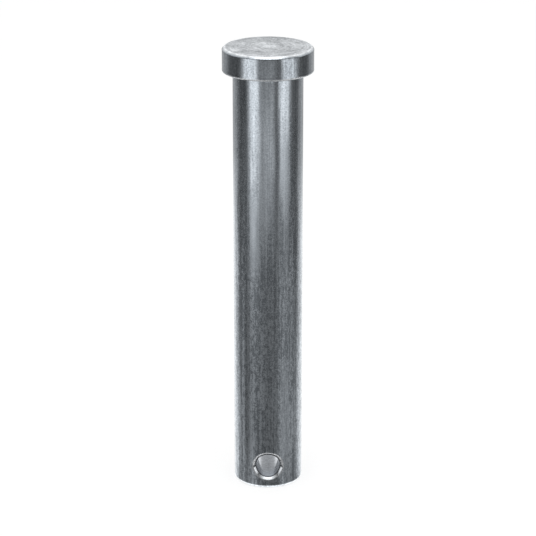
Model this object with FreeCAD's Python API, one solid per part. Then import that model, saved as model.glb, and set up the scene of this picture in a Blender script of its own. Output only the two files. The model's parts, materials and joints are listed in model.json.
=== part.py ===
import FreeCAD, Part
import math
import os

# A clevis pin: one piece of steel with a round shank, an upset head and a cross hole for a split pin.
# Lengths are in millimetres. The pin stands on its point with its head up: the axis is Z, the middle
# of the end face is the origin, and the cross hole runs along Y.

# The shank, from the end face up to the head's underside
shank_diameter = 9.47
shank_length = 59.0

# The head
head_diameter = 12.3
head_height = 3.25

# The bevel round the head's top face, and the small arcs that soften its two corners
head_bevel = 0.3
bevel_corner_radius = 0.12

# The rolled lower corner of the head's rim, and the fillet between its underside and the shank
rim_radius = 0.12
neck_radius = 0.3

# The bevelled point, and the small arcs that soften its two corners
point_bevel = 0.38
point_corner_radius = 0.12

# The cross hole, its height above the end face, and the even bevel that breaks each of its mouths
hole_diameter = 3.35
hole_height = 3.3
mouth_bevel = 0.36

# The drill reaches this far past the shank on each side
drill_overrun = 1.0

shank_radius = shank_diameter / 2
head_radius = head_diameter / 2
pin_length = shank_length + head_height


def turning_point(radius, height):
    """A point of the turned outline, in the plane through the axis and X."""
    return FreeCAD.Vector(radius, 0, height)


def softened(corners):
    """A closed outline through the corners, each given with its own radius; radius 0 stays sharp."""
    count = len(corners)
    starts = []
    ends = []
    bends = []
    for index, (corner, radius) in enumerate(corners):
        before = (corners[index - 1][0] - corner).normalize()
        after = (corners[(index + 1) % count][0] - corner).normalize()
        half_angle = before.getAngle(after) / 2
        setback = radius / math.tan(half_angle)
        starts.append(corner + before * setback)
        ends.append(corner + after * setback)
        bends.append(bend_between(corner, before, after, half_angle, radius))
    edges = []
    for index in range(count):
        if bends[index]:
            arc = Part.Arc(starts[index], bends[index], ends[index])
            edges.append(arc.toShape())
        following = (index + 1) % count
        edges.append(Part.LineSegment(ends[index], starts[following]).toShape())
    return Part.Wire(edges)


def bend_between(corner, before, after, half_angle, radius):
    """The middle of the arc that softens a corner, or None for a sharp one."""
    if radius == 0:
        return None
    inward = (before + after).normalize()
    centre_distance = radius / math.sin(half_angle)
    return corner + inward * (centre_distance - radius)


def turned_outline():
    """Half of the pin's section, from the end face up the outside and over the head."""
    underside = shank_length
    top = pin_length
    corners = [
        (turning_point(0, 0), 0),
        (turning_point(shank_radius - point_bevel, 0), point_corner_radius),
        (turning_point(shank_radius, point_bevel), point_corner_radius),
        (turning_point(shank_radius, underside), neck_radius),
        (turning_point(head_radius, underside), rim_radius),
        (turning_point(head_radius, top - head_bevel), bevel_corner_radius),
        (turning_point(head_radius - head_bevel, top), bevel_corner_radius),
        (turning_point(0, top), 0),
    ]
    return softened(corners)


def headed_blank():
    """The shank and the head in one piece, before drilling."""
    section = Part.Face(turned_outline())
    return section.revolve(FreeCAD.Vector(0, 0, 0), FreeCAD.Vector(0, 0, 1), 360)


def drill():
    """The cylinder that the cross hole removes, along Y through the shank."""
    reach = shank_radius + drill_overrun
    start = FreeCAD.Vector(0, -reach, hole_height)
    return Part.makeCylinder(hole_diameter / 2, 2 * reach, start, FreeCAD.Vector(0, 1, 0))


def is_hole_wall(face):
    """True for a round wall that runs along Y and not up the pin."""
    wall = face.Surface
    return isinstance(wall, Part.Cylinder) and abs(wall.Axis.y) > abs(wall.Axis.z)


def mouth_edges(drilled):
    """The curved edges where the cross hole comes out through the shank."""
    walls = [face for face in drilled.Faces if is_hole_wall(face)]
    return [edge for wall in walls for edge in wall.Edges if not isinstance(edge.Curve, Part.Line)]


def clevis_pin():
    """The finished pin: the blank, drilled, with both mouths of the hole bevelled."""
    drilled = headed_blank().cut(drill())
    return drilled.makeChamfer(mouth_bevel, mouth_edges(drilled))


def main():
    os.makedirs("parts", exist_ok=True)
    pin = clevis_pin()
    solid = pin.Solids[0]
    solid.exportStep("parts/clevis_pin.step")


main()
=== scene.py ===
import json
import math

import bmesh
import bpy
import numpy as np
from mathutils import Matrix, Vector, noise


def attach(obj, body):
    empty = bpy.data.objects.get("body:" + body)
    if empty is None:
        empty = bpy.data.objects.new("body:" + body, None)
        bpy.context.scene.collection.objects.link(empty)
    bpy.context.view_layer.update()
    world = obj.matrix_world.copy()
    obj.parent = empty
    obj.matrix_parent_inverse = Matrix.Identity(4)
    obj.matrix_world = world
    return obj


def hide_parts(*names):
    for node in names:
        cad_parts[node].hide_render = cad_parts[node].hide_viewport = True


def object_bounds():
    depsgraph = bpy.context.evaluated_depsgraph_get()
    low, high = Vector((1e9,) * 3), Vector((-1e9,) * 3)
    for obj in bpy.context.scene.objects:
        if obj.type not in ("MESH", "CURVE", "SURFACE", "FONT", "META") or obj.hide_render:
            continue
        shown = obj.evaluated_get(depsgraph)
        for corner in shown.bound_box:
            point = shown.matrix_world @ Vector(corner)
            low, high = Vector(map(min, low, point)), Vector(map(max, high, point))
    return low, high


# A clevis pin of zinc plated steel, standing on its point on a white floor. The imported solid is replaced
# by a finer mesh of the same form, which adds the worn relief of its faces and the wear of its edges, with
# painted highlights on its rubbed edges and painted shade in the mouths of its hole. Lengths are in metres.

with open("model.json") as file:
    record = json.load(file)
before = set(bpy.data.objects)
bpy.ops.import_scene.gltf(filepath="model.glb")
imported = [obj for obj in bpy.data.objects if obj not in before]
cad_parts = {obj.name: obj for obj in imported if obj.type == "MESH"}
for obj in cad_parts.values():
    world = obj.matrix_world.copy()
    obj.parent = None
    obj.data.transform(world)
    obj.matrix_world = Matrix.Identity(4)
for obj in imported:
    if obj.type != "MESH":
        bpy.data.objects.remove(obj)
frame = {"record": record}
cad_low, cad_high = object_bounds()

MM = 0.001

# The form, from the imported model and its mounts
mounts = {mount["name"]: mount for mount in frame["record"]["mounts"]}
shank_radius = mounts["shank"]["dims"]["r_mm"] * MM
hole_radius = mounts["cross_hole"]["dims"]["r_mm"] * MM
hole_height = mounts["cross_hole"]["pos_m"][2]
underside = mounts["head_seat"]["pos_m"][2]
head_radius = cad_high.x
pin_length = cad_high.z

# The small forms of the model, which no mount states
head_bevel = 0.3 * MM
point_bevel = 0.38 * MM
mouth_bevel = 0.36 * MM
bevel_softening = 0.12 * MM
rim_radius = 0.12 * MM
neck_radius = 0.3 * MM

# The lip that the drill raised round the upper half of each mouth. It rises from outside in, over a share of
# its width, and narrows from the mouth's sides to its top, where a share of its height is worn off.
lip_height = 0.08 * MM
lip_width_side = 0.2 * MM
lip_width_top = 0.1 * MM
lip_worn_top = 0.4
lip_rise_share = 0.85
lip_steps = 4

# The rounding of each mouth's inner edge
mouth_softening = 0.1 * MM

# The dents that the split pin's legs pressed into the sides of each mouth: how much further the bevel
# reaches there, and where a dent is deepest and ends, as turns below the mouth's middle
dent_reach = 0.14 * MM
dent_deepest = math.radians(8)
dent_end = math.radians(33)

# Wear and painted light, as the mesh's points keep it: from 1 up an edge is rubbed bright and painted as a
# highlight, 0 is plain and -1 is painted shade
# Rubbed edges, painted bright as highlights: the lip, the point, the rim and the head's top edge
lip_rubbed_highlight = 2.0
point_rubbed_highlight = 0.2
rim_rubbed_highlight = 1.0
head_edge_rubbed_highlight = 1.0
# The head's bevel is made a little darker
head_bevel_darkening = -0.15
# Painted shade on the upper half of each mouth's bevel, round its inner edge and in the bore near its mouths
bevel_painted_shade = -0.95
inner_edge_painted_shade = -0.5
bore_side_painted_shade = 0.75

# Where the lip with its painted highlight, and the painted shade, start and are full round a mouth, as
# heights over the hole's middle in hole radii. The bore has no painted shade on its floor, some on its sides
# and full painted shade at its roof.
lip_start = (-0.02, 0.1)
bevel_shade_start = (0.0, 0.5)
bore_side_start = (-0.9, -0.6)
bore_roof_start = (0.5, 0.8)

# How far in from its mouths the bore's painted shade is full and ends
bore_shade_end = (0.2 * MM, 0.7 * MM)

# The share of a mouth's bevel, from outside in, that is rubbed bright with the lip and painted as a
# highlight, and the share over which it turns into the painted shade of the rest
bright_share_top = 0.1
bright_share_side = 0.65
bright_fade = 0.15

# The relief of the worn faces: how deep it is in millimetres, and how finely it varies
top_relief = 0.012
top_fineness = 0.45
turning_relief = 0.004
turning_fineness = 4.0
turning_along_fineness = 0.5
side_relief = 0.012
side_fineness = 0.9
shank_relief = 0.004
shank_fineness = 1.6
shank_along_fineness = 0.12

# Where that relief lies, in millimetres: from which distances to the edge of the head's top, from how high
# over the underside, and how near to a face its points are
top_relief_start = (0.5, 0.9)
side_relief_start = 0.3
face_tolerance = 0.02

# The mesh: columns round the pin, and the spacing of its rings
columns = 240
shank_step = 0.25 * MM
face_step = 0.15 * MM
end_step = 0.6 * MM
edge_step = 0.1 * MM
arc_steps = 4

# The window in the shank's grid that each mouth of the hole takes up. Its layers crowd towards the mouth.
window_columns = 22
window_rows = 44
window_reach = 2.75 * MM
window_layers = 7
layer_crowding = 1.4
bore_rows = 34

# Heights nearer to each other than this are the same
same_place = 1e-7

# The photograph's camera, as fitted to the pin's outline. Its target is a point of the axis at this height.
camera_elevation = math.radians(19.372)
camera_distance = 294.16 * MM
camera_target = 31.09 * MM
camera_lens = 143.68
sensor_width = 36.0

# The plain light: the white backdrop's share in it, and the lamp over the pin
backdrop_light = 0.75
lamp_width = 220 * MM
lamp_depth = 130 * MM
lamp_radiance = 2.2
lamp_forward = 85 * MM
lamp_above_head = 250 * MM

# The floor: how far it reaches, how much light it gives back, and the glow that makes up the rest of white
floor_reach = 3.0
floor_grey = 0.35
floor_glow = 0.73

# The surroundings that the metal reflects: a low table card that curves up into a wall round the pin
table_start = 0.5 * MM
table_radius = 85 * MM
wall_radius = 100 * MM
wall_height = 105 * MM
wall_glow = 0.15
softbox_top = 52 * MM
softbox_fade = 4 * MM
foot_glow_radius = 4.8 * MM
foot_glow_fade = 0.4 * MM
foot_glow = 2.0
card_columns = 120
card_curve_steps = 6
card_lift = 0.05 * MM

# The wall is lower behind the pin: its height there, and the bearings between which it drops
back_wall_height = 62 * MM
back_wall_start = (66, 84)

# The darkest and the lightest plating of each kind of face
drawn_dark = (0.20, 0.22, 0.24)
drawn_light = (0.50, 0.54, 0.58)
top_dark = (0.16, 0.175, 0.19)
top_light = (0.74, 0.77, 0.80)
bore_dark = (0.35, 0.37, 0.395)
bore_light = (0.57, 0.60, 0.64)
end_dark = (0.22, 0.24, 0.26)
end_light = (0.46, 0.49, 0.52)
mouth_dark = (0.36, 0.38, 0.40)
mouth_light = (0.60, 0.62, 0.64)

# The plating's rubbed places, painted bright as highlights, and its painted shade
rubbed_highlight_colour = (0.94, 0.96, 0.98)
rubbed_highlight_roughness = 0.7
shade_and_darkening_colour = (0.05, 0.05, 0.055)

# How evenly the edges are rubbed and painted bright as highlights, and how much glossier the lighter plating
# is
rubbed_share = 0.75
rubbed_patchiness = 2.5
gloss_swing = -0.08

# The heights in millimetres above which the speckle is fine, and below which it is coarse
fine_speckle_from = 46
coarse_speckle_from = 26

# The broadest streaks on the front of the shank and of the head's side, lighter or darker than the plating
# round them: bearing and half width in degrees, lowest and highest point in millimetres, and strength
broad_streaks = [
    (-52.5, 4.6, 18, 38, -0.4),
    (-46.0, 2.9, 3, 30, 0.2),
    (-45.0, 6.0, 22, 34, -0.2),
    (-41.5, 4.0, 54, 59, -0.4),
    (-33.5, 4.1, 20, 30, 0.4),
    (-32.0, 3.2, 4, 12, 0.4),
    (-30.0, 4.0, 61, 66, 0.1),
    (-26.8, 4.6, 3, 17, 0.2),
    (-25.0, 6.0, 36, 39, 0.25),
    (-24.0, 6.0, 45, 47, 0.25),
    (-23.0, 5.5, 59.5, 61, -0.4),
    (-19.4, 3.6, 25, 30, -0.5),
    (-19.4, 3.6, 3, 11, -0.35),
    (-18.1, 3.9, 55, 60, 0.35),
    (-17.5, 3.5, 61, 66, 0.25),
    (-15.1, 2.4, 13, 19, 0.3),
    (-8.0, 4.0, 31, 34, -0.25),
    (-6.9, 5.1, 38, 46, 0.25),
    (-6.9, 5.1, 20, 26, 0.5),
    (2.4, 4.0, 30, 38, -0.35),
    (2.4, 2.6, 46, 54, 0.15),
    (5.7, 3.0, 6, 26, 0.22),
    (10.0, 3.0, 46, 51, 0.35),
    (12.5, 3.0, 26, 30, -0.3),
    (13.4, 3.3, 4, 9, 0.2),
    (17.6, 3.0, 46, 54, -0.3),
    (17.6, 3.0, 61, 66, 0.25),
    (20.6, 4.0, 20, 27, -0.35),
    (22.0, 4.5, 34, 42, -0.3),
    (25.0, 5.6, 3, 17, 0.1),
    (25.0, 6.0, 59.5, 61, -0.35),
    (34.0, 4.0, 51, 55, 0.3),
    (34.0, 4.0, 12, 15, 0.3),
    (34.7, 5.1, 20, 29, -0.4),
    (36.9, 4.0, 60, 66, -0.25),
    (37.8, 4.0, 9, 13, 0.15),
    (44.0, 4.7, 53, 62, 0.5),
    (48.2, 2.2, -2, 5, -0.5),
    (49.4, 3.4, 14, 27, -0.3),
    (50.7, 2.6, 30, 38, -0.5),
]

# Where the speckle is livelier or calmer than elsewhere on the shank, given in the same way
speckle_zones = [
    (-54.0, 12.0, 47, 55, 0.9),
    (-50.0, 13.0, 30, 58, 1.2),
    (48.0, 11.0, 30, 56, 1.2),
    (58.0, 10.0, 40, 50, 0.7),
    (-1.0, 13.0, 38, 58, -0.3),
    (-23.0, 9.0, 32, 42, -0.75),
    (25.0, 9.0, 43, 50, -0.6),
    (-18.0, 14.0, 10, 28, 0.5),
    (30.0, 8.0, 3, 18, -0.5),
]

# A streak is full within one share of its half width and gone beyond the other. It fades over this
# length, in millimetres, to each side of its ends.
streak_full = 0.7
streak_gone = 1.2
streak_fade = 2

# The patches on the head's top that are lighter or darker than the rest: middle and radius in
# millimetres, and strength
head_patches = [
    (0.3, 0.0, 1.1, 0.35),
    (-0.7, 1.8, 0.8, 0.2),
    (-4.3, -1.9, 0.9, 0.3),
    (0.0, 5.6, 3.4, -0.15),
]

# A patch is full within one share of its radius and gone beyond the other
patch_full = 0.5
patch_gone = 1.3

# The levels at which the surroundings are given: how far out along the table and then up its wall
levels = [9 * MM, 20 * MM, 80 * MM, 104 * MM, 124 * MM, 139 * MM]

# What stands round the pin. Each has a name, its first and last bearing in degrees, which count from the
# photograph's camera towards the right, and its brightness at each level.
surroundings = [
    ("left_backdrop", -172, -147, (1.42, 1.42, 1.38, 1.35, 0.60, 0.60)),
    ("left_backdrop_edge", -133, -128, (1.25, 1.25, 1.00, 0.95, 0.52, 0.52)),
    ("left_flag", -108, -101, (0.42, 0.36, 0.31, 0.22, 0.17, 0.14)),
    ("left_sheen", -96, -90, (0.62, 0.48, 0.53, 0.30, 0.17, 0.13)),
    ("left_flag_edge", -84, -71, (0.34, 0.19, 0.18, 0.22, 0.15, 0.10)),
    ("left_softbox", -57, -38, (0.55, 0.38, 0.39, 0.90, 1.90, 2.10)),
    ("left_softbox_edge", -31, -30, (0.32, 0.28, 0.30, 0.58, 1.12, 1.30)),
    ("front_left", -22, -16, (0.28, 0.28, 0.28, 0.30, 0.64, 0.28)),
    ("front", -9, 18, (0.22, 0.22, 0.22, 0.33, 0.98, 0.30)),
    ("front_gap", 23, 32, (0.25, 0.25, 0.25, 0.20, 0.10, 0.14)),
    ("right_softbox", 42, 57, (0.54, 0.54, 0.54, 0.29, 1.46, 2.20)),
    ("right_softbox_edge", 63, 67, (0.38, 0.52, 0.51, 0.26, 1.12, 2.10)),
    ("right_flag", 81, 98, (0.38, 0.48, 0.46, 0.24, 0.15, 0.12)),
    ("right_flag_edge", 103, 110, (0.36, 0.42, 0.23, 0.16, 0.16, 0.14)),
    ("right_backdrop_edge", 128, 133, (1.20, 1.20, 1.06, 0.97, 0.52, 0.52)),
    ("right_backdrop", 147, 172, (1.42, 1.42, 1.42, 1.38, 0.60, 0.60)),
]

# The kinds of face, numbered in the order of their finishes
SHANK, HEAD_SIDE, HEAD_TOP, BORE, END, BEVEL = range(6)


def between(value, low, high):
    """0 below low, 1 above high and a smooth rise between them."""
    share = min(max((value - low) / (high - low), 0.0), 1.0)
    return share * share * (3 - 2 * share)


class Surface:
    """Points, faces and their finishes, gathered before they become one mesh."""

    def __init__(self):
        self.points = []
        # The wear of each point, with the painted highlight and the painted shade that it carries
        self.wear_and_painted_light = []
        self.faces = []
        self.finishes = []

    def add(self, points, wear_and_painted_light=0.0):
        """Adds points and gives back their numbers."""
        first = len(self.points)
        self.points.extend(points)
        self.wear_and_painted_light.extend([wear_and_painted_light] * len(points))
        return list(range(first, len(self.points)))

    def face(self, corners, finish):
        """Adds one face between points that are already there."""
        self.faces.append(corners)
        self.finishes.append(finish)

    def band(self, lower, upper, finish):
        """Adds a closed band of quads between two rings of as many points."""
        count = len(lower)
        for index in range(count):
            following = (index + 1) % count
            corners = (lower[index], lower[following], upper[following], upper[index])
            self.face(corners, finish)


def softened_corner(corner, before, after, radius):
    """The points of the arc that softens a corner of the outline."""
    if radius == 0:
        return [corner]
    towards_before = (before - corner).normalized()
    towards_after = (after - corner).normalized()
    half_angle = towards_before.angle(towards_after) / 2
    setback = radius / math.tan(half_angle)
    centre = corner + (towards_before + towards_after).normalized() * (radius / math.sin(half_angle))
    start = corner + towards_before * setback - centre
    end = corner + towards_after * setback - centre
    sweep = start.angle(end)
    points = []
    for step in range(arc_steps + 1):
        share = step / arc_steps
        spoke = start * math.sin((1 - share) * sweep) + end * math.sin(share * sweep)
        points.append(centre + spoke / math.sin(sweep))
    return points


def outline_corners():
    """The outline's corners as (radius, height, softening, step, wear and painted light, finish), from foot
    to top.

    The step and the finish are those of the run that follows. The head's bevel has no ring within it, so
    that the wear and painted light of its edges fade over it.
    """
    window_low = hole_height - window_reach
    window_high = hole_height + window_reach
    window_step = 2 * window_reach / window_rows
    head_edge = pin_length - head_bevel
    no_ring_within = 2 * head_bevel
    return [
        (0.0, 0.0, 0.0, end_step, 0.0, END),
        (shank_radius - point_bevel, 0.0, bevel_softening, edge_step, point_rubbed_highlight, SHANK),
        (shank_radius, point_bevel, bevel_softening, edge_step, point_rubbed_highlight, SHANK),
        (shank_radius, window_low, 0.0, window_step, 0.0, SHANK),
        (shank_radius, window_high, 0.0, shank_step, 0.0, SHANK),
        (shank_radius, underside, neck_radius, face_step, 0.0, HEAD_SIDE),
        (head_radius, underside, rim_radius, face_step, rim_rubbed_highlight, HEAD_SIDE),
        (head_radius, head_edge, bevel_softening, no_ring_within, head_bevel_darkening, HEAD_SIDE),
        (head_radius - head_bevel, pin_length, bevel_softening, face_step, head_edge_rubbed_highlight, HEAD_TOP),
        (0.0, pin_length, 0.0, face_step, 0.0, HEAD_TOP),
    ]


def turned_outline():
    """The outline as (radius, height, wear and painted light, finish of the band that follows), from foot to
    top.
    """
    corners = outline_corners()
    places = [Vector((radius, height)) for radius, height, *_ in corners]
    outline = []
    for index, (radius, height, softening, step, wear_and_painted_light, finish) in enumerate(corners):
        before = places[max(index - 1, 0)]
        after = places[min(index + 1, len(places) - 1)]
        arc = softened_corner(places[index], before, after, softening)
        if outline:
            outline.extend(straight_run(outline[-1], arc[0], run_step))
        outline.extend((*point, wear_and_painted_light, finish) for point in arc)
        run_step = step
    return outline


def straight_run(start, end, step):
    """The points between two corners of the outline, evenly spaced."""
    start_point = Vector(start[:2])
    length = (end - start_point).length
    count = max(1, round(length / step))
    finish = start[3]
    return [
        (*start_point.lerp(end, index / count), 0.0, finish)
        for index in range(1, count)
    ]


def ring(radius, height):
    """One ring of the turned form. It starts at the front, at -Y, and runs towards +X."""
    angles = np.arange(columns) * 2 * math.pi / columns
    return [Vector((radius * math.sin(angle), -radius * math.cos(angle), height)) for angle in angles]


def in_window(column, height):
    """True for a cell of the shank's grid that a mouth of the hole takes up."""
    from_front = min(column, columns - 1 - column)
    from_back = columns // 2 - 1 - from_front
    beside = from_front < window_columns or from_back < window_columns
    return beside and abs(height - hole_height) < window_reach


def turned_body(surface):
    """Adds the turned form with a window for each mouth. Gives back its rings and their heights."""
    outline = turned_outline()
    foot = surface.add([Vector((0, 0, 0))])[0]
    top = surface.add([Vector((0, 0, pin_length))])[0]
    rings = [surface.add(ring(radius, height), wear_and_painted_light) for radius, height, wear_and_painted_light, _ in outline[1:-1]]
    heights = [height for _, height, _, _ in outline[1:-1]]
    for index in range(columns):
        following = (index + 1) % columns
        surface.face((foot, rings[0][following], rings[0][index]), END)
        surface.face((top, rings[-1][index], rings[-1][following]), HEAD_TOP)
    for number in range(len(rings) - 1):
        finish = outline[number + 1][3]
        middle = (heights[number] + heights[number + 1]) / 2
        for index in range(columns):
            if in_window(index, middle):
                continue
            following = (index + 1) % columns
            corners = (rings[number][index], rings[number][following],
                       rings[number + 1][following], rings[number + 1][index])
            surface.face(corners, finish)
    return rings, heights


def window_border(rings, heights, back):
    """The corners of a window's border as (number, across, height), once round from its right side."""
    reach = window_reach + same_place
    rows = [row for row, height in enumerate(heights) if abs(height - hole_height) < reach]
    right = [(window_columns, row) for row in rows]
    upper = [(column, rows[-1]) for column in range(window_columns - 1, -window_columns - 1, -1)]
    left = [(-window_columns, row) for row in reversed(rows[:-1])]
    lower = [(column, rows[0]) for column in range(-window_columns + 1, window_columns)]
    border = []
    for column, row in right + upper + left + lower:
        across = shank_radius * column * 2 * math.pi / columns
        place = (columns // 2 - column if back else column) % columns
        border.append((rings[row][place], across, heights[row]))
    return border


def on_shank(across, height, back):
    """A point of the shank from its distance round the surface and its height."""
    angle = across / shank_radius
    side = 1 if back else -1
    return Vector((shank_radius * math.sin(angle), side * shank_radius * math.cos(angle), height))


def mouth_outside(turn, setback):
    """(Distance round the shank, height) of a point that lies this far outside the hole's edge."""
    narrowing = math.sqrt(1 - (hole_radius * math.cos(turn) / shank_radius) ** 2)
    across = shank_radius * math.asin(hole_radius * math.cos(turn) / shank_radius)
    height = hole_height + hole_radius * math.sin(turn)
    away = Vector((math.cos(turn), math.sin(turn) / narrowing)).normalized()
    return across + setback * away.x, height + setback * away.y


def mouth_inside(turn, setback, back):
    """The point of the bore's wall that lies this far inside the hole's edge."""
    depth = math.sqrt(shank_radius ** 2 - (hole_radius * math.cos(turn)) ** 2)
    slope = hole_radius * math.cos(turn) * math.sin(turn) / depth
    lengthening = math.hypot(1, slope)
    turned = turn + setback * slope / lengthening / hole_radius
    depth = depth - setback / lengthening
    side = 1 if back else -1
    return Vector((
        hole_radius * math.cos(turned),
        side * depth,
        hole_height + hole_radius * math.sin(turned),
    ))


def rounded(start, corner, end, share):
    """A point of the small curve that softens a corner, from start to end."""
    return start.lerp(corner, share).lerp(corner.lerp(end, share), share)


def bevel_reach(turn):
    """How far to each side of the hole's edge the bevel of a mouth reaches, with its dents."""
    below = math.asin(-math.sin(turn))
    if below < dent_deepest:
        return mouth_bevel + dent_reach * between(below, 0, dent_deepest)
    left = max(0, (dent_end - below) / (dent_end - dent_deepest))
    return mouth_bevel + dent_reach * left ** 2


def lip_width(turn):
    """How wide the lip is, from its sides to its top."""
    return lip_width_side + (lip_width_top - lip_width_side) * math.sin(turn) ** 2


def lip(turn, upper, back):
    """The lip outside a mouth's bevel in section, as (point, wear and painted highlight). It is flat where
    upper is 0.
    """
    section = []
    full_rise = upper * lip_height * (1 - lip_worn_top * math.sin(turn) ** 2)
    for step in range(lip_steps + 1):
        share = step / lip_steps
        point = on_shank(*mouth_outside(turn, bevel_reach(turn) + lip_width(turn) * (1 - share)), back)
        rise = full_rise * between(share, 0, lip_rise_share)
        outward = Vector((point.x, point.y, 0)).normalized()
        # The lip's crest is painted bright as a rubbed highlight
        section.append((point + outward * rise, upper * share * lip_rubbed_highlight))
    return section


def bevel_section(turn, back):
    """A mouth in section, from the shank's surface over the lip and the bevel to the bore's wall."""
    upper = between(math.sin(turn), *lip_start)
    # The upper half of the bevel, and its inner edge all round, are painted dark as shade
    soil = bevel_painted_shade * between(math.sin(turn), *bevel_shade_start)
    section = lip(turn, upper, back)
    outer = section[-1][0]
    inner = mouth_inside(turn, bevel_reach(turn), back)
    after = mouth_inside(turn, bevel_reach(turn) + mouth_softening, back)
    start = inner.lerp(outer, mouth_softening / (inner - outer).length)
    bright_end = bright_share_top + (bright_share_side - bright_share_top) * math.cos(turn) ** 2
    # The bevel's outer share is painted bright as a rubbed highlight with the lip
    section.append((outer.lerp(start, bright_end / 2), upper * lip_rubbed_highlight))
    section.append((outer.lerp(start, bright_end), upper * lip_rubbed_highlight))
    section.append((outer.lerp(start, bright_end + bright_fade), soil))
    section.append((start, soil))
    for step in range(1, arc_steps + 1):
        point = rounded(start, inner, after, step / arc_steps)
        section.append((point, min(soil, inner_edge_painted_shade)))
    return section


def mouth(surface, rings, heights, back):
    """Adds one mouth of the hole, from its window to the bore, and gives back its inmost ring."""
    border = window_border(rings, heights, back)
    turns = [math.atan2(height - hole_height, across) for _, across, height in border]
    outer = [number for number, _, _ in border]
    for layer in range(1, window_layers):
        share = 1 - (1 - layer / window_layers) ** layer_crowding
        points = []
        for turn, (_, across, height) in zip(turns, border):
            edge_across, edge_height = mouth_outside(turn, bevel_reach(turn) + lip_width(turn))
            points.append(on_shank(across + (edge_across - across) * share,
                                   height + (edge_height - height) * share, back))
        inner = surface.add(points)
        surface.band(outer, inner, SHANK)
        outer = inner
    sections = [bevel_section(turn, back) for turn in turns]
    for step in range(len(sections[0])):
        inner = []
        for section in sections:
            point, wear_and_painted_light = section[step]
            inner.extend(surface.add([point], wear_and_painted_light))
        surface.band(outer, inner, SHANK if step == 0 else BEVEL)
        outer = inner
    return outer


def bore_painted_shade(point, from_mouth):
    """How much painted shade the bore has at a point that lies this far in from the nearer mouth."""
    up = (point.z - hole_height) / hole_radius
    sides = bore_side_painted_shade * between(up, *bore_side_start)
    roof = (1 - bore_side_painted_shade) * between(up, *bore_roof_start)
    near_mouth = 1 - between(from_mouth, *bore_shade_end)
    return near_mouth * (sides + roof)


def cross_hole(surface, rings, heights):
    """Adds both mouths and the bore between them."""
    front = mouth(surface, rings, heights, back=False)
    rear = mouth(surface, rings, heights, back=True)
    previous = front
    for row in range(1, bore_rows):
        share = row / bore_rows
        from_mouth = min(share, 1 - share) * 2 * shank_radius
        current = []
        for front_number, rear_number in zip(front, rear):
            point = surface.points[front_number].lerp(surface.points[rear_number], share)
            # The bore near its mouths is painted dark as shade, most at its roof
            current.extend(surface.add([point], -bore_painted_shade(point, from_mouth)))
        surface.band(previous, current, BORE)
        previous = current
    surface.band(previous, rear, BORE)


def make_mesh(surface):
    """The gathered surface as one closed mesh, with its wear, painted highlights and painted shade kept on
    the points.
    """
    mesh = bpy.data.meshes.new("clevis_pin_finished")
    mesh.from_pydata([tuple(point) for point in surface.points], [], surface.faces)
    mesh.polygons.foreach_set("material_index", surface.finishes)
    # The wear, painted highlights and painted shade, kept on the points
    wear_and_painted_light = mesh.attributes.new("edge_wear_and_painted_light", "FLOAT", "POINT")
    wear_and_painted_light.data.foreach_set("value", np.array(surface.wear_and_painted_light, np.float32))
    body = bmesh.new()
    body.from_mesh(mesh)
    loose = [vertex for vertex in body.verts if not vertex.link_faces]
    bmesh.ops.delete(body, geom=loose, context="VERTS")
    bmesh.ops.recalc_face_normals(body, faces=body.faces)
    body.to_mesh(mesh)
    body.free()
    mesh.shade_smooth()
    return mesh


def hollow(deepest, place):
    """A depth between 0 and the deepest, which varies smoothly from place to place."""
    return deepest * (0.5 + 0.5 * noise.noise(place))


def relief(point):
    """How far the worn surface lies below the true form at a point."""
    place = point / MM
    radius = math.hypot(place.x, place.y)
    depth = 0.0
    if place.z > pin_length / MM - face_tolerance:
        mark = Vector((
            radius * turning_fineness,
            place.x * turning_along_fineness,
            place.y * turning_along_fineness,
        ))
        depth = hollow(top_relief, place * top_fineness) + hollow(turning_relief, mark)
        depth *= between(head_radius / MM - radius, *top_relief_start)
    elif place.z > underside / MM + side_relief_start:
        depth = hollow(side_relief, place * side_fineness)
    elif abs(radius - shank_radius / MM) < face_tolerance:
        streak = Vector((
            place.x * shank_fineness,
            place.y * shank_fineness,
            place.z * shank_along_fineness,
        ))
        depth = hollow(shank_relief, streak)
    return depth * MM


def wear_mesh(mesh):
    """Lowers the worn faces along their normals. The end face, on which the pin stands, stays flat."""
    moved = [vertex.co - vertex.normal * relief(vertex.co) for vertex in mesh.vertices]
    for vertex, place in zip(mesh.vertices, moved):
        vertex.co = place


def make(tree, kind, inputs=None, **settings):
    """Adds a node. An input is a value or another node's output."""
    made = tree.nodes.new(kind)
    for name, value in settings.items():
        setattr(made, name, value)
    for name, value in (inputs or {}).items():
        if isinstance(value, bpy.types.NodeSocket):
            tree.links.new(value, made.inputs[name])
        else:
            made.inputs[name].default_value = value
    return made


def math_node(tree, operation, first, second=0.0, clamp=False):
    """Two values put together, such as by ADD or MULTIPLY."""
    node = make(tree, "ShaderNodeMath", {0: first, 1: second}, operation=operation, use_clamp=clamp)
    return node.outputs[0]


def stretched(tree, coordinates, stretch):
    """Coordinates multiplied along each axis."""
    return make(tree, "ShaderNodeVectorMath", {0: coordinates, 1: stretch}, operation="MULTIPLY").outputs[0]


def noise_node(tree, coordinates, scale, detail, roughness, distortion=0.0):
    """Smooth noise from 0 to 1."""
    inputs = {
        "Vector": coordinates,
        "Scale": scale,
        "Detail": detail,
        "Roughness": roughness,
        "Distortion": distortion,
    }
    return make(tree, "ShaderNodeTexNoise", inputs).outputs["Fac"]


def smooth_share(tree, value, low, high):
    """0 on low's side, 1 on high's side and a smooth change between them."""
    inputs = {"Value": value, "From Min": low, "From Max": high}
    return make(tree, "ShaderNodeMapRange", inputs, interpolation_type="SMOOTHSTEP").outputs[0]


def mixed(tree, share, first, second):
    """The first colour where the share is 0, and the second where it is 1."""
    return make(tree, "ShaderNodeMix", {0: share, 6: first, 7: second}, data_type="RGBA").outputs[2]


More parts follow.
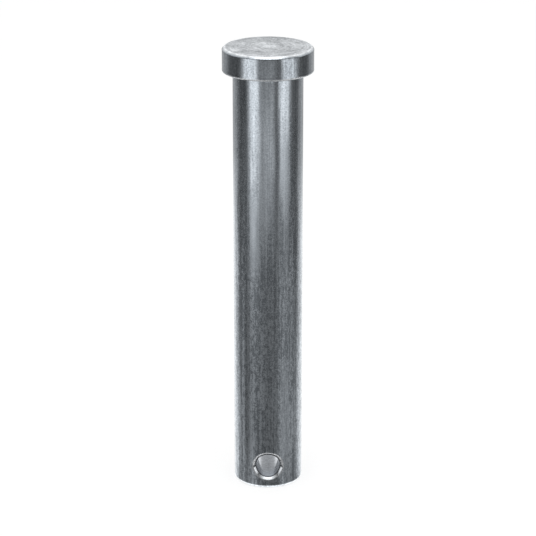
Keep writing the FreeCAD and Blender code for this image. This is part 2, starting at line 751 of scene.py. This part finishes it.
def weighted(tree, base, parts):
    """base plus each part's distance from one half, times its weight."""
    total = base
    for part, weight in parts:
        swing = math_node(tree, "SUBTRACT", part, 0.5)
        term = math_node(tree, "MULTIPLY", swing, weight)
        total = math_node(tree, "ADD", total, term)
    return total


def new_material(name):
    """An empty material and its node tree."""
    material = bpy.data.materials.new(name)
    material.use_nodes = True
    tree = material.node_tree
    tree.nodes.clear()
    return material, tree


def millimetres(tree):
    """The pin's own coordinates in millimetres."""
    own = make(tree, "ShaderNodeTexCoord").outputs["Object"]
    return stretched(tree, own, (1 / MM, 1 / MM, 1 / MM))


def with_streaks(tree, tone, place, streaks):
    """The tone with upright streaks added, each fading out at its sides and ends."""
    split = make(tree, "ShaderNodeSeparateXYZ", {0: place}).outputs
    towards_camera = math_node(tree, "MULTIPLY", split["Y"], -1.0)
    turned = math_node(tree, "ARCTAN2", split["X"], towards_camera)
    bearing = math_node(tree, "MULTIPLY", turned, 180 / math.pi)
    for middle, half_width, low, high, strength in streaks:
        aside = math_node(tree, "ABSOLUTE", math_node(tree, "SUBTRACT", bearing, middle))
        across = smooth_share(tree, aside, half_width * streak_gone, half_width * streak_full)
        above_foot = smooth_share(tree, split["Z"], low - streak_fade, low + streak_fade)
        below_end = smooth_share(tree, split["Z"], high + streak_fade, high - streak_fade)
        along = math_node(tree, "MULTIPLY", above_foot, below_end)
        streak = math_node(tree, "MULTIPLY", across, along)
        tone = math_node(tree, "ADD", tone, math_node(tree, "MULTIPLY", streak, strength))
    return tone


def towards_point(tree, up, at_head, at_point):
    """A value that changes smoothly from the head's end of the shank to the point's."""
    return make(tree, "ShaderNodeMapRange", {
        "Value": up,
        "From Min": fine_speckle_from,
        "From Max": coarse_speckle_from,
        "To Min": at_head,
        "To Max": at_point,
    }, interpolation_type="SMOOTHSTEP").outputs[0]


def drawn_pattern(tree):
    """Streaks along the pin with a speckle that grows coarser towards the point, as (tone, height)."""
    place = millimetres(tree)
    streaks = noise_node(tree, stretched(tree, place, (1, 1, 0.03)), scale=3.4, detail=4.0, roughness=0.6)
    broad = noise_node(tree, stretched(tree, place, (1, 1, 0.015)), scale=1.1, detail=2.0, roughness=0.5)
    grain = noise_node(tree, stretched(tree, place, (1, 1, 0.9)), scale=5.0, detail=2.0, roughness=0.6)
    mottle = noise_node(tree, stretched(tree, place, (1, 1, 0.35)), scale=3.4, detail=3.0, roughness=0.65)
    blotch = noise_node(tree, stretched(tree, place, (1, 1, 0.3)), scale=0.4, detail=4.0, roughness=0.65)
    up = make(tree, "ShaderNodeSeparateXYZ", {0: place}).outputs["Z"]
    speckle = weighted(tree, 0.0, [
        (streaks, towards_point(tree, up, 1.0, 2.1)),
        (grain, towards_point(tree, up, 1.3, 2.2)),
        (mottle, towards_point(tree, up, 0.5, 2.6)),
    ])
    liveliness = with_streaks(tree, 1.0, place, speckle_zones)
    speckle = math_node(tree, "MULTIPLY", speckle, liveliness)
    tone = math_node(tree, "ADD", weighted(tree, 0.5, [(broad, 0.6), (blotch, 0.9)]), speckle)
    relief_height = weighted(tree, 0.0, [(streaks, 0.9), (grain, 0.4), (mottle, 0.5)])
    height = math_node(tree, "MULTIPLY", relief_height, liveliness)
    return with_streaks(tree, tone, place, broad_streaks), height


def with_head_patches(tree, tone, place):
    """The tone with the head's patches added, each fading out from its middle."""
    for x, y, radius, strength in head_patches:
        aside = make(tree, "ShaderNodeVectorMath", {0: place, 1: (x, y, 0)}, operation="DISTANCE")
        inside = smooth_share(tree, aside.outputs["Value"], radius * patch_gone, radius * patch_full)
        tone = math_node(tree, "ADD", tone, math_node(tree, "MULTIPLY", inside, strength))
    return tone


def swirled_pattern(tree):
    """Turning marks round the head's middle and mottling across them, as (tone, height)."""
    outward_fineness = 2.4
    round_fineness = 1.6
    place = millimetres(tree)
    flat = stretched(tree, place, (1, 1, 0))
    from_middle = make(tree, "ShaderNodeVectorMath", {0: flat}, operation="LENGTH").outputs["Value"]
    direction = make(tree, "ShaderNodeVectorMath", {0: flat}, operation="NORMALIZE").outputs[0]
    split = make(tree, "ShaderNodeSeparateXYZ", {0: direction})
    swirl_place = make(tree, "ShaderNodeCombineXYZ", {
        "X": math_node(tree, "MULTIPLY", from_middle, outward_fineness),
        "Y": math_node(tree, "MULTIPLY", split.outputs["X"], round_fineness),
        "Z": math_node(tree, "MULTIPLY", split.outputs["Y"], round_fineness),
    }).outputs[0]
    rings = noise_node(tree, swirl_place, scale=1.0, detail=4.0, roughness=0.6, distortion=0.4)
    speckle = noise_node(tree, place, scale=3.4, detail=4.0, roughness=0.7, distortion=0.4)
    blotch = noise_node(tree, place, scale=0.5, detail=3.0, roughness=0.6)
    tone = weighted(tree, 0.5, [(rings, 1.3), (speckle, 2.0), (blotch, 1.0)])
    height = weighted(tree, 0.5, [(rings, 0.8), (speckle, 0.8)])
    return with_head_patches(tree, tone, flat), height


def drilled_pattern(tree):
    """The faint rings that a drill leaves round a bore, as (tone, height)."""
    place = millimetres(tree)
    rings = noise_node(tree, stretched(tree, place, (0.3, 1, 0.3)), scale=4.0, detail=3.0, roughness=0.6)
    mottle = noise_node(tree, place, scale=2.5, detail=4.0, roughness=0.6)
    tone = weighted(tree, 0.45, [(rings, 1.0), (mottle, 1.2)])
    height = weighted(tree, 0.5, [(rings, 1.0)])
    return tone, height


def zinc(name, pattern, dark, light, roughness, depth):
    """Zinc plating. Its tone and gloss vary with the pattern, with painted highlights on its rubbed edges
    and painted shade.
    """
    material, tree = new_material(name)
    tone, height = pattern(tree)
    plating = make(tree, "ShaderNodeMix", {0: tone, 6: (*dark, 1), 7: (*light, 1)}, data_type="RGBA",
                   clamp_factor=True).outputs[2]
    wear_and_painted_light = make(tree, "ShaderNodeAttribute", attribute_name="edge_wear_and_painted_light").outputs["Fac"]
    patches = noise_node(tree, millimetres(tree), scale=1.3, detail=3.0, roughness=0.6)
    patchiness = weighted(tree, rubbed_share, [(patches, rubbed_patchiness)])
    # The rubbed edges are painted bright as highlights
    rubbed = math_node(tree, "MULTIPLY", wear_and_painted_light, patchiness, clamp=True)
    # Painted shade darkens the plating, and the head's bevel a little
    soiled = math_node(tree, "MULTIPLY", wear_and_painted_light, -1.0, clamp=True)
    colour = mixed(tree, rubbed, plating, (*rubbed_highlight_colour, 1))
    colour = mixed(tree, soiled, colour, (*shade_and_darkening_colour, 1))
    gloss = weighted(tree, roughness, [(tone, gloss_swing)])
    gloss = make(tree, "ShaderNodeMix", {0: rubbed, 2: gloss, 3: rubbed_highlight_roughness}).outputs[0]
    bump = make(tree, "ShaderNodeBump", {"Height": height, "Distance": depth, "Strength": 1.0})
    shader = make(tree, "ShaderNodeBsdfPrincipled", {
        "Base Color": colour,
        "Metallic": 1.0,
        "Roughness": gloss,
        "Normal": bump.outputs["Normal"],
    })
    output = make(tree, "ShaderNodeOutputMaterial")
    tree.links.new(shader.outputs[0], output.inputs["Surface"])
    return material


def finishes():
    """One finish for each kind of face, in the order of their numbers."""
    return [
        zinc("zinc_shank", drawn_pattern, drawn_dark, drawn_light, roughness=0.23, depth=0.006 * MM),
        zinc("zinc_head_side", drawn_pattern, drawn_dark, drawn_light, roughness=0.22, depth=0.006 * MM),
        zinc("zinc_head_top", swirled_pattern, top_dark, top_light, roughness=0.34, depth=0.006 * MM),
        zinc("zinc_bore", drilled_pattern, bore_dark, bore_light, roughness=0.2, depth=0.002 * MM),
        zinc("zinc_end", swirled_pattern, end_dark, end_light, roughness=0.32, depth=0.004 * MM),
        zinc("zinc_mouth", drilled_pattern, mouth_dark, mouth_light, roughness=0.24, depth=0.002 * MM),
    ]


def clevis_pin():
    """The whole pin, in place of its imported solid."""
    surface = Surface()
    rings, heights = turned_body(surface)
    cross_hole(surface, rings, heights)
    mesh = make_mesh(surface)
    wear_mesh(mesh)
    for material in finishes():
        mesh.materials.append(material)
    pin = bpy.data.objects.new("clevis_pin_finished", mesh)
    bpy.context.scene.collection.objects.link(pin)
    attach(pin, "root")
    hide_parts("clevis_pin")


def seen_directly(tree):
    """1 for rays from the camera and for those that gloss or glass sends on, else 0."""
    path = make(tree, "ShaderNodeLightPath")
    gloss = math_node(tree, "MAXIMUM", path.outputs["Is Glossy Ray"], path.outputs["Is Transmission Ray"])
    return math_node(tree, "MAXIMUM", path.outputs["Is Camera Ray"], gloss)


def white_backdrop():
    """A white backdrop that lights the pin evenly, and shows as white to the eye and in the metal."""
    world = bpy.data.worlds.new("backdrop")
    world.use_nodes = True
    tree = world.node_tree
    tree.nodes.clear()
    seen = seen_directly(tree)
    strength = make(tree, "ShaderNodeMapRange", {"Value": seen, "To Min": backdrop_light, "To Max": 1.0})
    background = make(tree, "ShaderNodeBackground", {"Color": (1, 1, 1, 1), "Strength": strength.outputs[0]})
    output = make(tree, "ShaderNodeOutputWorld")
    tree.links.new(background.outputs[0], output.inputs["Surface"])
    bpy.context.scene.world = world


def white_floor():
    """A plain white floor. Part of its brightness is lit, so that it keeps the pin's soft shadow."""
    material, tree = new_material("white_floor")
    diffuse = make(tree, "ShaderNodeBsdfDiffuse", {"Color": grey(floor_grey)})
    glow = make(tree, "ShaderNodeEmission", {
        "Color": (1, 1, 1, 1),
        "Strength": math_node(tree, "MULTIPLY", seen_directly(tree), floor_glow),
    })
    both = make(tree, "ShaderNodeAddShader")
    tree.links.new(diffuse.outputs[0], both.inputs[0])
    tree.links.new(glow.outputs[0], both.inputs[1])
    output = make(tree, "ShaderNodeOutputMaterial")
    tree.links.new(both.outputs[0], output.inputs["Surface"])
    corners = [
        (-floor_reach, -floor_reach, 0),
        (floor_reach, -floor_reach, 0),
        (floor_reach, floor_reach, 0),
        (-floor_reach, floor_reach, 0),
    ]
    mesh = bpy.data.meshes.new("floor")
    mesh.from_pydata(corners, [], [(0, 1, 2, 3)])
    mesh.materials.append(material)
    floor = bpy.data.objects.new("floor", mesh)
    bpy.context.scene.collection.objects.link(floor)


def grey(brightness):
    """The colour without a hue that is this bright."""
    return (brightness, brightness, brightness, 1)


def bearing_ramp(tree, bearing, level):
    """Brightness by bearing at one level, as a ramp with a soft edge between neighbours."""
    ramp = make(tree, "ShaderNodeValToRGB", {"Fac": bearing})
    stops = ramp.color_ramp.elements
    places = []
    for _, first, last, brightness in surroundings:
        places.append((first, brightness[level]))
        places.append((last, brightness[level]))
    while len(stops) < len(places):
        stops.new(0.5)
    for stop, (angle, brightness) in zip(stops, places):
        stop.position = (angle + 180) / 360
        stop.color = grey(brightness)
    return ramp.outputs["Color"]


def shank_bearing(tree, angle, distance):
    """The bearing in which the shank's mirror image of a place lies, from 0 to 1 once round.

    Close to the pin it runs ahead of the place's own angle, so the edges of the panels curve in
    towards the sides of the pin, and each shows as an upright line in the shank. The bearing is
    on both sides of its own equation, and two rounds of it come close enough.
    """
    seen = angle
    for _ in range(2):
        sideways = math_node(tree, "SINE", math_node(tree, "MULTIPLY", seen, 0.5))
        lean = math_node(tree, "DIVIDE", math_node(tree, "MULTIPLY", sideways, shank_radius), distance)
        seen = math_node(tree, "ADD", angle, math_node(tree, "ARCSINE", lean))
    return math_node(tree, "ADD", math_node(tree, "DIVIDE", seen, 2 * math.pi), 0.5, clamp=True)


def surroundings_material():
    """The glow of the table card and of the wall behind it."""
    material, tree = new_material("surroundings")
    place = make(tree, "ShaderNodeTexCoord").outputs["Object"]
    split = make(tree, "ShaderNodeSeparateXYZ", {0: place})
    towards_camera = math_node(tree, "MULTIPLY", split.outputs["Y"], -1.0)
    angle = math_node(tree, "ARCTAN2", split.outputs["X"], towards_camera)
    flat = stretched(tree, place, (1, 1, 0))
    distance = make(tree, "ShaderNodeVectorMath", {0: flat}, operation="LENGTH").outputs["Value"]
    bearing = shank_bearing(tree, angle, math_node(tree, "MAXIMUM", distance, shank_radius))
    along = math_node(tree, "ADD", distance, split.outputs["Z"])
    glow = bearing_ramp(tree, bearing, 0)
    for level in range(1, len(levels)):
        share = smooth_share(tree, along, levels[level - 1], levels[level])
        glow = mixed(tree, share, glow, bearing_ramp(tree, bearing, level))
    above = smooth_share(tree, split.outputs["Z"], softbox_top - softbox_fade, softbox_top + softbox_fade)
    glow = mixed(tree, above, glow, grey(wall_glow))
    outside = smooth_share(tree, distance, foot_glow_radius, foot_glow_radius + foot_glow_fade)
    glow = mixed(tree, outside, grey(foot_glow), glow)
    emission = make(tree, "ShaderNodeEmission", {"Color": glow, "Strength": 1.0})
    output = make(tree, "ShaderNodeOutputMaterial")
    tree.links.new(emission.outputs[0], output.inputs["Surface"])
    material.cycles.emission_sampling = "NONE"
    return material


def card_profile():
    """The card in section as (radius, height), from the pin over the table and up the curve."""
    curve = wall_radius - table_radius
    profile = [(table_start, 0.0), (table_radius, 0.0)]
    for step in range(1, card_curve_steps + 1):
        turn = step / card_curve_steps * math.pi / 2
        profile.append((table_radius + curve * math.sin(turn), curve * (1 - math.cos(turn))))
    return profile


def surroundings_card():
    """A card round the pin that only the metal's reflections show: table, curve and wall in one."""
    profile = card_profile()
    points = []
    for index in range(card_columns):
        angle = index * 2 * math.pi / card_columns
        from_camera = abs(math.degrees(math.atan2(math.sin(angle), math.cos(angle))))
        top = wall_height + (back_wall_height - wall_height) * between(from_camera, *back_wall_start)
        for radius, height in profile + [(wall_radius, top)]:
            points.append((radius * math.sin(angle), -radius * math.cos(angle), height + card_lift))
    rows = len(profile) + 1
    faces = []
    for index in range(card_columns):
        first = index * rows
        second = (index + 1) % card_columns * rows
        for row in range(rows - 1):
            faces.append((first + row, second + row, second + row + 1, first + row + 1))
    mesh = bpy.data.meshes.new("surroundings")
    mesh.from_pydata(points, [], faces)
    mesh.materials.append(surroundings_material())
    card = bpy.data.objects.new("surroundings", mesh)
    bpy.context.scene.collection.objects.link(card)
    card.visible_camera = False
    card.visible_diffuse = False
    card.visible_shadow = False


def overhead_softbox():
    """A large soft lamp over the pin, a little towards the camera."""
    lamp = bpy.data.lights.new("overhead_softbox", "AREA")
    lamp.shape = "RECTANGLE"
    lamp.size = lamp_width
    lamp.size_y = lamp_depth
    lamp.energy = lamp_radiance * math.pi * lamp_width * lamp_depth
    softbox = bpy.data.objects.new("overhead_softbox", lamp)
    softbox.location = (0, -lamp_forward, pin_length + lamp_above_head)
    softbox.visible_camera = False
    bpy.context.scene.collection.objects.link(softbox)


def photo_camera():
    """The camera at the photograph's angle."""
    data = bpy.data.cameras.new("photo_camera")
    data.sensor_width = sensor_width
    data.lens = camera_lens
    data.clip_start = 0.01
    data.clip_end = 20.0
    camera = bpy.data.objects.new("photo_camera", data)
    back = Vector((0, -math.cos(camera_elevation), math.sin(camera_elevation)))
    camera.location = Vector((0, 0, camera_target)) + back * camera_distance
    camera.rotation_euler = (math.pi / 2 - camera_elevation, 0, 0)
    bpy.context.scene.collection.objects.link(camera)
    bpy.context.scene.camera = camera


clevis_pin()
white_backdrop()
white_floor()
surroundings_card()
overhead_softbox()
photo_camera()
bpy.context.scene.view_settings.view_transform = "Standard"
